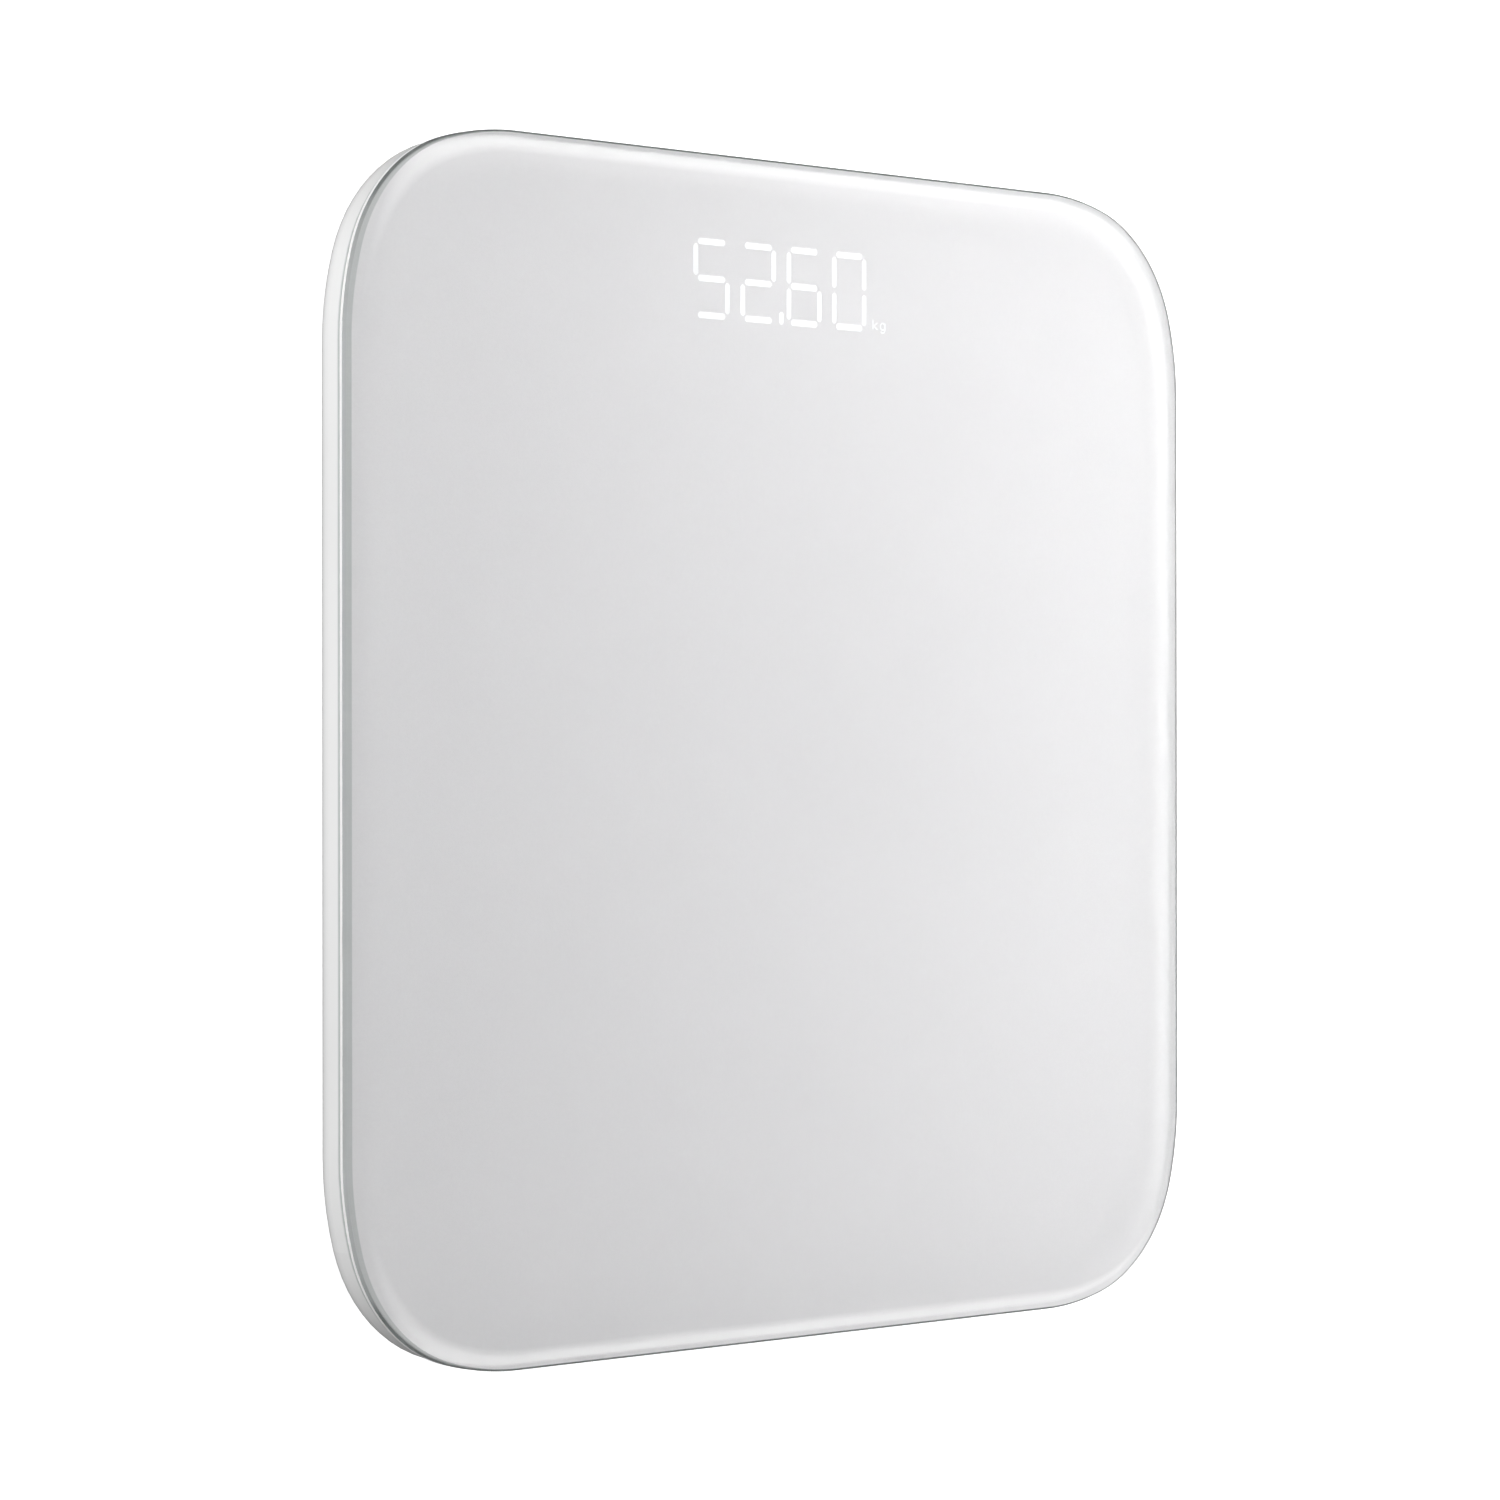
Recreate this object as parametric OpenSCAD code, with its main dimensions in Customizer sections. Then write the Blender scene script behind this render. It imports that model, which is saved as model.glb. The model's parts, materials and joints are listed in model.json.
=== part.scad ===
// Digital bathroom scale: a glass platform on a shallow moulded base with four load-cell feet.
// The scale stands on the floor with +Z up, +Y towards its display edge and +X to its right.
// The origin is on the floor under the middle of the platform. All sizes are millimetres.

/* [Platform] */
// Width of the glass from side to side
platform_w = 280; // [240:1:360]
// Length of the glass from heel edge to display edge
platform_l = 280; // [260:1:360]
// Height from the floor to the top of the glass
total_h = 22; // [21:0.5:30]
// Thickness of the glass
glass_t = 5; // [4:0.1:8]
// Width of the curved border round the flat top
border_w = 5.4; // [2:0.1:8]
// Drop of the curved border from the flat top to the side wall
border_drop = 1.94; // [0.5:0.02:2.4]
// Chamfer along the lower edge of the glass
glass_chamfer = 0.4; // [0.2:0.1:1]
// Radius of the gentle arcs that lead into and out of a corner
corner_r_soft = 75.3; // [60:0.1:90]
// Radius of the tight arc in the middle of a corner
corner_r_tight = 38.3; // [32:0.1:50]
// Thickness of the white print fired onto the back of the glass
print_t = 0.15; // [0.1:0.05:0.5]
// How far the print stops short of the glass edge
print_inset = 0.5; // [0.2:0.1:1.5]
// Thickness of the bonding tape between the glass and the base
tape_t = 0.25; // [0.2:0.05:1]
// Width of the bonding tape
tape_w = 4.2; // [3:0.1:5]
// Distance of the bonding tape from the glass edge
tape_inset = 3; // [2:0.1:4]

/* [Base] */
// Height of the base from its underside to its rim
base_h = 9.8; // [9.2:0.1:14]
// How far the base is set in from the glass edge
base_inset = 0.8; // [0.3:0.1:3]
// Fillet along the bottom edge of the base
base_fillet = 5.5; // [3:0.1:7]
// Thickness of the base side wall
base_wall = 2; // [1.6:0.1:3]
// Thickness of the base floor
base_floor = 2.2; // [1.8:0.1:3]
// Width of the rim that carries the tape
rim_w = 7; // [6.5:0.1:8]
// Thickness of the rim at its inner edge
rim_t = 1.6; // [1:0.1:2]
// Thickness of the stiffening ribs
rib_t = 1.6; // [1:0.1:3]
// Distance of the outer long ribs from the middle
rib_outer_x = 52; // [45:1:60]
// Distance of the inner long ribs from the middle
rib_inner_x = 20; // [10:1:26]

/* [Feet and load cells] */
// Distance of each foot centre from the platform's nearest edges
foot_inset = 36; // [34:0.5:42]
// Diameter of a foot cap
foot_d = 40; // [30:1:42]
// Gap all round between a foot and its well
well_gap = 1.5; // [1:0.1:3]
// Diameter of a rubber pad
pad_d = 34; // [24:1:36]
// Thickness of a rubber pad
pad_t = 1.8; // [1.4:0.1:3]
// Depth that a rubber pad sinks into its cap
pad_seat = 0.8; // [0.4:0.1:1]
// Upward travel of a foot as its load cell flexes
foot_travel = 0.6; // [0.3:0.1:1]
// Diameter of the hub that pushes on the load cell
hub_d = 8; // [6:0.5:8]
// Side length of a square load cell
cell_w = 34; // [30:1:36]
// Thickness of a load cell
cell_t = 2.6; // [2:0.1:3]
// Width of the slots cut through a load cell
cell_slot = 2; // [1.5:0.1:2.5]
// Clearance between a load cell and its bracket
cell_gap = 0.3; // [0.2:0.1:0.5]
// Thickness of the bracket under a load cell
bracket_floor = 1.4; // [1.2:0.1:2]
// Wall of the bracket beyond the corners of the load cell
bracket_wall = 1.6; // [1.2:0.1:3]
// Height that the bracket wall stands above the load cell
bracket_lip = 1; // [0.9:0.1:1.5]
// Diameter of the screws that hold the feet
foot_screw_d = 3; // [2.5:0.1:4]
// Diameter of the screws that hold the brackets and the board
small_screw_d = 2.2; // [2:0.1:2.6]
// Diameter of the bosses that take those screws
boss_d = 6; // [5:0.1:7]

/* [Display and board] */
// Distance of the digits' centre line from the display edge
display_inset = 29.4; // [27:0.1:34]
// Distance of the reading's middle to the left of the platform's middle
display_shift = 0.9; // [0:0.1:3]
// Height of a digit
digit_h = 18.7; // [14:0.1:20]
// Width of a digit
digit_w = 11.8; // [9:0.1:12.5]
// Distance from one digit to the next
digit_pitch = 15.5; // [14:0.1:16]
// Width of a lit segment
segment_w = 1.5; // [1:0.1:2]
// Gap between neighbouring segments
segment_gap = 0.5; // [0.3:0.1:0.8]
// Width of the window for the unit mark
unit_mark_w = 4.7; // [3:0.1:6]
// Height of the window for the unit mark
unit_mark_h = 3.1; // [2:0.1:4]
// Margin of the display frame round its windows
frame_margin = 3; // [2:0.1:4]
// Thickness of the diffuser film
diffuser_t = 0.2; // [0.1:0.05:0.4]
// Width of the circuit board
board_w = 128; // [116:1:134]
// Length of the circuit board
board_l = 42; // [38:1:44]
// Thickness of the circuit board
board_t = 1; // [0.8:0.1:1.6]
// Distance of the unit button from the display edge
button_inset = 49; // [47:0.5:50]
// Diameter of the unit button
button_d = 9; // [7:0.5:10]
// Travel of the unit button
button_travel = 0.5; // [0.3:0.1:0.6]
// Gap round the unit button
button_gap = 0.3; // [0.2:0.05:0.5]

/* [Battery bay] */
// Distance of the battery bay's centre from the middle of the platform
bay_y = 36; // [30:1:40]
// Diameter of an AAA cell
battery_d = 10.5; // [10:0.1:10.5]
// Length of an AAA cell with its nub
battery_len = 44.5; // [43:0.1:50]
// Gap between neighbouring cells
battery_gap = 0.6; // [0.4:0.1:2]
// Room for the contacts at the two ends of the cells together
contact_room = 7.5; // [6:0.1:10]
// Wall of the battery bay
bay_wall = 2.2; // [1.6:0.1:3]
// Width of the ledge that the door closes against
door_ledge = 2.4; // [2:0.1:4]
// Thickness of the battery door
door_t = 1.6; // [1.2:0.1:2.2]
// Gap all round the battery door
door_gap = 0.3; // [0.2:0.05:0.6]
// Radius of the barrel along the hinge edge of the door
barrel_r = 1.3; // [1.1:0.05:1.6]
// Radius of the hinge pins
pin_r = 0.8; // [0.6:0.05:1]
// Clearance between a hinge pin and its hole
pin_gap = 0.1; // [0.05:0.01:0.15]

/* [Hidden] */

// Overshoot of cutting tools past the face that they cut
eps = 0.1;
$fn = 96;

// Heights of the stacked layers, from the top down
glass_z0 = total_h - glass_t;
print_z0 = glass_z0 - print_t;
base_z1 = print_z0 - tape_t;
base_z0 = base_z1 - base_h;
floor_z = base_z0 + base_floor;

// Corner outline: the tight arc's centre lies on the diagonal, and each gentle arc is tangent
// to it and to one straight side. A gentle arc turns by the small angle of the 7-24-25
// triangle, so its sine and cosine are short decimals and the arcs meet exactly.
soft_cos = 24 / 25;
soft_sin = 7 / 25;
corner_k = corner_r_soft - (corner_r_soft - corner_r_tight) * soft_cos;
corner_run = corner_k + (corner_r_soft - corner_r_tight) * soft_sin;
sweep_w = 16;
border_r = (border_w * border_w + border_drop * border_drop) / (2 * border_drop);

// Feet, load cells and brackets
foot_x = platform_w / 2 - foot_inset;
foot_y = platform_l / 2 - foot_inset;
well_d = foot_d + 2 * well_gap;
cell_z0 = floor_z + bracket_floor;
wire_z = cell_z0 + cell_t;
bracket_d = sqrt(2) * (cell_w + 2 * cell_gap) + 2 * bracket_wall;
bracket_top = wire_z + bracket_lip;
bracket_hole_d = 0.7 * cell_w;
cap_z0 = pad_t - pad_seat;
cap_top = floor_z - foot_travel - 0.8;
ear_d = boss_d + 2;
ear_t = 1.6;
ear_gap = 0.5;
ear_reach = bracket_d / 2 + ear_gap + boss_d / 2;
ear_neck = ear_reach - bracket_d / 2 + bracket_wall / 2;
tongue_w = hub_d + 1;
cell_band = 4.6;
cell_loop_w = cell_w - 2 * (cell_band + cell_slot);
cell_bar_w = 5;
gauge_w = 8;
gauge_l = 3.5;
gauge_h = 0.6;
gauge_edge = 0.6;
head_ratio = 1.9;
head_t = 1.4;
thread_gap = 0.05;
screw_gap = 0.4;
cable_w = 3.6;
cable_t = 0.9;
cable_x = rib_outer_x + 16;
cable_notch = cable_w + 1.4;

// Display, board and unit button
display_y = platform_l / 2 - display_inset;
diffuser_z0 = print_z0 - 0.05 - diffuser_t;
digit_count = 4;
digits_w = (digit_count - 1) * digit_pitch + digit_w;
mark_space = digit_pitch - digit_w - segment_w;
display_w = digits_w + mark_space + unit_mark_w;
first_digit_x = -display_shift - display_w / 2 + digit_w / 2;
unit_mark_x = -display_shift + display_w / 2 - unit_mark_w / 2;
point_x = first_digit_x + 1.5 * digit_pitch;
point_h = 2 * segment_w;
frame_w = display_w + 2 * frame_margin;
frame_l = digit_h + 2 * frame_margin;
window_gap = 0.1;
board_y = display_y - 3;
board_z0 = wire_z - board_t;
board_screw_x = board_w / 2 - 6;
board_screw_y = board_l / 2 - 6;
button_y = platform_l / 2 - button_inset;
button_recess = 0.3;
flange_t = 0.6;
flange_d = button_d + 2.4;
switch_w = 6;
switch_z0 = floor_z + flange_t + button_travel + 0.1;
plunger_d = 3.4;
plunger_gap = 0.2;
button_rise = 0.3;

// Battery bay and door
battery_count = 3;
battery_pitch = battery_d + battery_gap;
bay_w = battery_len + contact_room;
bay_l = battery_count * battery_pitch + battery_gap;
bay_ceiling = 0.8;
battery_top_gap = 0.2;
battery_door_gap = 0.3;
battery_z = base_z1 - bay_ceiling - battery_top_gap - battery_d / 2;
bay_z0 = battery_z - battery_d / 2 - battery_door_gap - door_t;
recess_w = bay_w + 2 * door_ledge;
recess_l = bay_l + 2 * door_ledge;
door_w = recess_w - 2 * door_gap;
door_l = recess_l - 2 * door_gap;
plateau_w = recess_w + 2 * bay_wall + 2;
plateau_l = recess_l + 2 * bay_wall;
plateau_r = 6;
door_r = 2.5;
hinge_y = bay_y - door_l / 2 + barrel_r;
hinge_z = bay_z0 + barrel_r;
pin_len = 1.6;
latch_w = 14;
contact_t = 0.4;
contact_h = 8.6;
// A cell's nub touches its plate, and its spring fills the room at the other end
battery_shift = contact_room / 2 - contact_t;
spring_len = contact_room - 2 * contact_t;
nub_len = 1;
nub_d = 3.8;

// ---------- Shared shapes ----------

// A flat rounded rectangle centred on the origin
module rounded_rect(w, l, r) {
    square([w - 2 * r, l], center = true);
    square([w, l - 2 * r], center = true);
    for (x = [-1, 1], y = [-1, 1]) {
        translate([x * (w / 2 - r), y * (l / 2 - r)]) circle(r = r);
    }
}

// Repeats its child in all four quarters of the platform
module each_quarter() {
    for (x = [0, 1], y = [0, 1]) {
        mirror([x, 0, 0]) mirror([0, y, 0]) children();
    }
}

// Turns a profile about a centre and keeps the part between two directions
module corner_arc(centre, r, from_dir, to_dir) {
    reach = 1.5 * (corner_r_soft + corner_r_tight);
    translate([centre[0], centre[1], 0]) intersection() {
        rotate_extrude($fn = 192) translate([r, 0]) children();
        translate([0, 0, -eps])
            linear_extrude(total_h + 2 * eps) polygon([[0, 0], reach * from_dir, reach * to_dir]);
    }
}

// Sweeps a profile round the platform outline set in by a distance.
// In the profile, x = 0 is the outline, negative x is inwards and y is height.
module outline_sweep(inset) {
    half_w = platform_w / 2;
    half_l = platform_l / 2;
    soft_r = corner_r_soft - inset;
    low_dir = [soft_cos, soft_sin];
    high_dir = [soft_sin, soft_cos];
    each_quarter() {
        corner_arc([half_w - corner_r_soft, half_l - corner_run], soft_r, [1, 0], low_dir) children();
        corner_arc([half_w - corner_k, half_l - corner_k], corner_r_tight - inset, low_dir, high_dir)
            children();
        corner_arc([half_w - corner_run, half_l - corner_r_soft], soft_r, high_dir, [0, 1]) children();
    }
    for (side = [0, 180]) {
        rotate([0, 0, side])
            translate([half_w - inset, half_l - corner_run, 0])
                rotate([90, 0, 0])
                    linear_extrude(platform_l - 2 * corner_run) children();
        rotate([0, 0, side + 90])
            translate([half_l - inset, half_w - corner_run, 0])
                rotate([90, 0, 0])
                    linear_extrude(platform_w - 2 * corner_run) children();
    }
}

// Straight-sided filling for the middle of a swept plate, lapped under its swept band
module outline_core(inset, z0, z1) {
    half_w = platform_w / 2;
    half_l = platform_l / 2;
    lap = inset + sweep_w / 2;
    soft_r = corner_r_soft - lap;
    along = soft_r * soft_cos;
    across = soft_r * soft_sin;
    quarter = [
        [half_w - lap, half_l - corner_run],
        [half_w - corner_r_soft + along, half_l - corner_run + across],
        [half_w - corner_run + across, half_l - corner_r_soft + along],
        [half_w - corner_run, half_l - lap]
    ];
    n = len(quarter) - 1;
    points = concat(
        quarter,
        [for (i = [0:n]) [-quarter[n - i][0], quarter[n - i][1]]],
        [for (i = [0:n]) -quarter[i]],
        [for (i = [0:n]) [quarter[n - i][0], -quarter[n - i][1]]]
    );
    translate([0, 0, z0]) linear_extrude(z1 - z0) polygon(points);
}

// A flat plate with the platform outline
module outline_plate(inset, z0, z1) {
    outline_sweep(inset) translate([-sweep_w, z0]) square([sweep_w, z1 - z0]);
    outline_core(inset, z0, z1);
}

// The part outside a round of radius r in the lower outer corner at (x, z) of a profile
module corner_round(x, z, r) {
    difference() {
        translate([x - r, z - eps]) square([r + eps, r + eps]);
        translate([x - r, z + r]) circle(r = r);
    }
}

// Puts its child at one foot: side is -1 left or 1 right, and end is -1 heel or 1 toe.
// The child's own +X and +Y point away from the middle of the platform.
module at_foot(side, end) {
    mirror([side < 0 ? 1 : 0, 0, 0])
        mirror([0, end < 0 ? 1 : 0, 0])
            translate([foot_x, foot_y, 0]) children();
}

// The two screw places of a bracket, on the diagonal along the corner
module at_ears() {
    for (turn = [135, -45]) {
        rotate([0, 0, turn]) translate([ear_reach, 0, 0]) children();
    }
}

// A pan-head screw with its head's underside at z = 0
module screw(d, len) {
    translate([0, 0, -len]) cylinder(d = d - 2 * thread_gap, h = len);
    difference() {
        cylinder(d = head_ratio * d, h = head_t);
        for (turn = [0, 90]) {
            rotate([0, 0, turn])
                translate([-0.65 * d, -0.15 * d, head_t / 2])
                    cube([1.3 * d, 0.3 * d, head_t]);
        }
    }
}

// A flat cable of rounded strokes through a list of points
module flat_cable(points, w, z, t) {
    translate([0, 0, z]) linear_extrude(t) {
        for (i = [0:len(points) - 2]) {
            step = points[i + 1] - points[i];
            translate(points[i])
                rotate([0, 0, atan2(step[1], step[0])])
                    translate([0, -w / 2]) square([norm(step), w]);
        }
        for (i = [1:len(points) - 2]) {
            translate(points[i]) circle(d = w);
        }
    }
}

// ---------- Platform ----------

// Clear glass with a curved border and a chamfered lower edge
module glass_platform() {
    color([0.86, 0.92, 0.9, 0.4]) {
        outline_sweep(0) glass_profile();
        outline_core(0, glass_z0, total_h);
    }
}

module glass_profile() {
    difference() {
        translate([-sweep_w, glass_z0]) square([sweep_w, glass_t]);
        difference() {
            translate([-border_w, total_h - border_drop]) square([border_w + eps, border_drop + eps]);
            translate([-border_w, total_h - border_r]) circle(r = border_r, $fn = 192);
        }
        polygon([
            [-glass_chamfer, glass_z0],
            [-glass_chamfer, glass_z0 - eps],
            [eps, glass_z0 - eps],
            [eps, glass_z0 + glass_chamfer],
            [0, glass_z0 + glass_chamfer]
        ]);
    }
}

// White print on the back of the glass
module glass_print() {
    color("white") outline_plate(print_inset, print_z0, glass_z0);
}

// Ring of double-sided tape that bonds the glass to the base rim
module bond_tape() {
    color("dimgray")
        outline_sweep(tape_inset) translate([-tape_w, base_z1]) square([tape_w, tape_t]);
}

// ---------- Base ----------

// Moulded tray with rim, foot wells, ribs, bosses and battery bay
module base_shell() {
    color("whitesmoke") difference() {
        union() {
            outline_sweep(base_inset) tray_profile();
            outline_core(base_inset, base_z0, floor_z);
            ribs();
            bosses();
            bay_body();
        }
        each_quarter() {
            translate([foot_x, foot_y, base_z0 - eps]) cylinder(d = well_d, h = base_floor + 2 * eps);
        }
        boss_holes();
        bay_cavity();
        button_hole();
    }
}

module tray_profile() {
    inner_r = base_fillet - base_wall;
    rim_z = base_z1 - rim_t;
    difference() {
        translate([-sweep_w, base_z0]) square([sweep_w, base_h]);
        corner_round(0, base_z0, base_fillet);
        difference() {
            polygon([
                [-sweep_w - eps, floor_z],
                [-base_wall, floor_z],
                [-base_wall, rim_z - (rim_w - base_wall) / 2],
                [-rim_w, rim_z],
                [-rim_w, base_z1 + eps],
                [-sweep_w - eps, base_z1 + eps]
            ]);
            corner_round(-base_wall, floor_z, inner_r);
        }
    }
}

// Long ribs beside the bay and cross ribs from wall to wall; their tops carry the cables
module ribs() {
    rib_h = wire_z - floor_z + eps;
    reach_x = platform_w / 2 - base_inset - base_wall + eps;
    heel_y = -platform_l / 2 + base_inset + base_wall - eps;
    board_edge = board_y - board_l / 2 - 3;
    bay_edge = bay_y - plateau_l / 2;
    for (x = [-1, 1]) {
        rib_along_y(x * rib_outer_x, heel_y, board_edge, rib_h);
        rib_along_y(x * rib_inner_x, heel_y, bay_edge, rib_h);
    }
    for (y = [-0.22 * platform_l, bay_edge]) {
        translate([-reach_x, y - rib_t / 2, floor_z - eps]) cube([2 * reach_x, rib_t, rib_h]);
    }
    translate([-cable_x - 4, board_edge - rib_t, floor_z - eps]) cube([2 * cable_x + 8, rib_t, rib_h]);
}

module rib_along_y(x, from_y, to_y, h) {
    translate([x - rib_t / 2, from_y, floor_z - eps]) cube([rib_t, to_y - from_y, h]);
}

// Bosses under the bracket ears and the board
module bosses() {
    ear_z = bracket_top - ear_t;
    each_quarter() {
        translate([foot_x, foot_y, floor_z - eps])
            at_ears() cylinder(d = boss_d, h = ear_z - floor_z + eps);
    }
    at_board_screws() {
        translate([0, 0, floor_z - eps]) cylinder(d = boss_d, h = board_z0 - floor_z + eps);
    }
}

module boss_holes() {
    each_quarter() {
        translate([foot_x, foot_y, floor_z]) at_ears() cylinder(d = small_screw_d, h = base_h);
    }
    at_board_screws() {
        translate([0, 0, floor_z]) cylinder(d = small_screw_d, h = base_h);
    }
}

module at_board_screws() {
    for (x = [-1, 1], y = [-1, 1]) {
        translate([x * board_screw_x, board_y + y * board_screw_y, 0]) children();
    }
}

module button_hole() {
    translate([0, button_y, base_z0 - eps])
        cylinder(d = button_d + 2 * button_gap, h = base_floor + 2 * eps);
    translate([0, button_y, base_z0 - eps]) cylinder(d = button_d + 4, h = button_recess + eps);
}

// Solid of the bay: a low plateau under the base and the bay's walls inside it
module bay_body() {
    translate([0, bay_y, bay_z0])
        linear_extrude(floor_z - bay_z0) rounded_rect(plateau_w, plateau_l, plateau_r);
    translate([0, bay_y, base_z0])
        linear_extrude(base_h) rounded_rect(bay_w + 2 * bay_wall, bay_l + 2 * bay_wall, 2);
}

// Room for the cells, the door, the hinge and a fingertip
module bay_cavity() {
    door_z1 = bay_z0 + door_t;
    translate([0, bay_y, door_z1 - eps])
        linear_extrude(base_z1 - bay_ceiling - door_z1 + eps) square([bay_w, bay_l], center = true);
    translate([0, bay_y, bay_z0 - eps])
        linear_extrude(door_t + eps) rounded_rect(recess_w, recess_l, door_r + door_gap);
    barrel_room = barrel_r + door_gap;
    translate([-recess_w / 2, hinge_y, hinge_z]) rotate([0, 90, 0]) cylinder(r = barrel_room, h = recess_w);
    translate([-recess_w / 2, hinge_y - barrel_room, bay_z0 - eps])
        cube([recess_w, 2 * barrel_room, barrel_r + eps]);
    hole_reach = door_w / 2 + pin_len + door_gap;
    translate([-hole_reach, hinge_y, hinge_z])
        rotate([0, 90, 0]) cylinder(r = pin_r + pin_gap, h = 2 * hole_reach);
    translate([0, bay_y + recess_l / 2, bay_z0 - eps]) cylinder(r = bay_wall + 0.4 + latch_w / 4, h = 1 + eps);
}

// ---------- Battery door ----------

// Flush cover that swings on two stub pins, with a spring tongue at its free edge
module battery_door() {
    free_y = bay_y + door_l / 2;
    tongue_slot = 0.8;
    tongue_len = 8;
    color("gainsboro") difference() {
        union() {
            translate([0, bay_y, bay_z0]) linear_extrude(door_t) rounded_rect(door_w, door_l, door_r);
            translate([-door_w / 2, hinge_y, hinge_z]) rotate([0, 90, 0]) cylinder(r = barrel_r, h = door_w);
            translate([-door_w / 2 - pin_len, hinge_y, hinge_z])
                rotate([0, 90, 0]) cylinder(r = pin_r, h = door_w + 2 * pin_len);
            translate([-latch_w / 4, free_y - eps, bay_z0 + door_t - 0.5]) cube([latch_w / 2, eps + door_gap / 2, 0.5]);
        }
        // The square lower edges beside the barrel are rounded away with it
        difference() {
            translate([-door_w / 2 - eps, bay_y - door_l / 2 - eps, bay_z0 - eps])
                cube([door_w + 2 * eps, barrel_r + eps, barrel_r + eps]);
            translate([-door_w / 2 - pin_len - eps, hinge_y, hinge_z])
                rotate([0, 90, 0]) cylinder(r = barrel_r, h = door_w + 2 * (pin_len + eps));
        }
        for (x = [-1, 1]) {
            translate([x * latch_w / 2 - tongue_slot / 2, free_y - tongue_len, bay_z0 - eps])
                cube([tongue_slot, tongue_len + 1, door_t + 2 * eps]);
        }
        for (i = [0:2]) {
            translate([-latch_w / 4, free_y - 2.4 - 1.8 * i, bay_z0 - eps])
                cube([latch_w / 2, 0.7, 0.3 + eps]);
        }
    }
}

// ---------- Batteries and contacts ----------

// Puts its child in a lane of the bay with +X towards the cell's nub; every other lane is turned
module in_lane(lane) {
    lane_y = bay_y + (lane - (battery_count + 1) / 2) * battery_pitch;
    flip = lane % 2 == 0 ? 180 : 0;
    translate([0, lane_y, battery_z]) rotate([0, 0, flip]) children();
}

// An AAA cell
module battery(lane) {
    color("silver") in_lane(lane)
        translate([battery_shift - battery_len / 2, 0, 0]) rotate([0, 90, 0]) {
            cylinder(d = battery_d, h = battery_len - nub_len);
            cylinder(d = nub_d, h = battery_len);
        }
}

module battery_1() { battery(1); }
module battery_2() { battery(2); }
module battery_3() { battery(3); }

// Spring steel plates at both ends of each lane
module battery_contacts() {
    color("goldenrod") for (lane = [1:battery_count], end = [-1, 1]) {
        in_lane(lane) translate([end * (bay_w - contact_t) / 2, 0, 0])
            cube([contact_t, battery_pitch - 1.2, contact_h], center = true);
    }
}

// A conical coil from the contact plate to the flat end of each cell
module battery_springs() {
    color("gray") for (lane = [1:battery_count]) {
        in_lane(lane) translate([-bay_w / 2 + contact_t, 0, 0])
            rotate([0, 90, 0]) conical_coil(spring_len);
    }
}

module conical_coil(len) {
    wire_r = 0.3;
    turns = 3;
    steps = 14;
    sides = 6;
    wide = 3.4;
    narrow = 1.8;
    rings = turns * steps;
    rise = len - 2 * wire_r;
    points = [
        for (i = [0:rings], j = [0:sides - 1])
            let (part = i / rings, a = 360 * i / steps, b = 360 * j / sides)
            let (r = wide + (narrow - wide) * part + wire_r * cos(b))
            [r * cos(a), r * sin(a), wire_r + rise * part + wire_r * sin(b)]
    ];
    sides_faces = [
        for (i = [0:rings - 1], j = [0:sides - 1])
            let (next = (j + 1) % sides)
            [i * sides + j, (i + 1) * sides + j, (i + 1) * sides + next, i * sides + next]
    ];
    start_cap = [[for (j = [0:sides - 1]) j]];
    end_cap = [[for (j = [0:sides - 1]) rings * sides + sides - 1 - j]];
    polyhedron(points = points, faces = concat(sides_faces, start_cap, end_cap), convexity = 6);
}

// ---------- Display ----------

// One straight segment with rounded ends, centred on the origin along X
module segment(len) {
    square([len - segment_w, segment_w], center = true);
    for (x = [-1, 1]) {
        translate([x * (len - segment_w) / 2, 0]) circle(d = segment_w, $fn = 24);
    }
}

// Length of a segment between two corners of a digit that are a span apart, so that the round
// ends of neighbouring segments stay a gap apart on the diagonal
function segment_len(span) = span - sqrt(2) * (segment_w + segment_gap) + segment_w;

// The seven segments of each digit, the point and the unit mark; grow widens every outline
module display_windows(grow) {
    across = digit_w - segment_w;
    up = (digit_h - segment_w) / 2;
    for (i = [0:digit_count - 1]) {
        translate([first_digit_x + i * digit_pitch, display_y]) {
            for (y = [-up, 0, up]) {
                translate([0, y]) grown_segment(segment_len(across), grow);
            }
            for (x = [-1, 1], y = [-1, 1]) {
                translate([x * across / 2, y * up / 2])
                    rotate(90) grown_segment(segment_len(up), grow);
            }
        }
    }
    translate([point_x, display_y - digit_h / 2 + point_h / 2])
        square([segment_w + 2 * grow, point_h + 2 * grow], center = true);
    translate([unit_mark_x, display_y - digit_h / 2 + unit_mark_h / 2])
        square([unit_mark_w + 2 * grow, unit_mark_h + 2 * grow], center = true);
}

module grown_segment(len, grow) {
    scale_up = (segment_w + 2 * grow) / segment_w;
    scale([scale_up, scale_up]) segment((len + 2 * grow) / scale_up);
}

// Moulded reflector with one light well for each segment
module display_frame() {
    color("white") difference() {
        translate([-display_shift, display_y, wire_z])
            linear_extrude(diffuser_z0 - wire_z) rounded_rect(frame_w, frame_l, 1.5);
        translate([0, 0, wire_z - eps])
            linear_extrude(diffuser_z0 - wire_z + 2 * eps) display_windows(window_gap);
    }
}

// Clear resin that fills the light wells over the diodes
module display_segments() {
    color("ivory") translate([0, 0, wire_z])
        linear_extrude(diffuser_z0 - wire_z) display_windows(0);
}

// Film that evens out the light
module display_diffuser() {
    color("snow") translate([-display_shift, display_y, diffuser_z0])
        linear_extrude(diffuser_t) rounded_rect(frame_w, frame_l, 1.5);
}

// ---------- Board ----------

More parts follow.
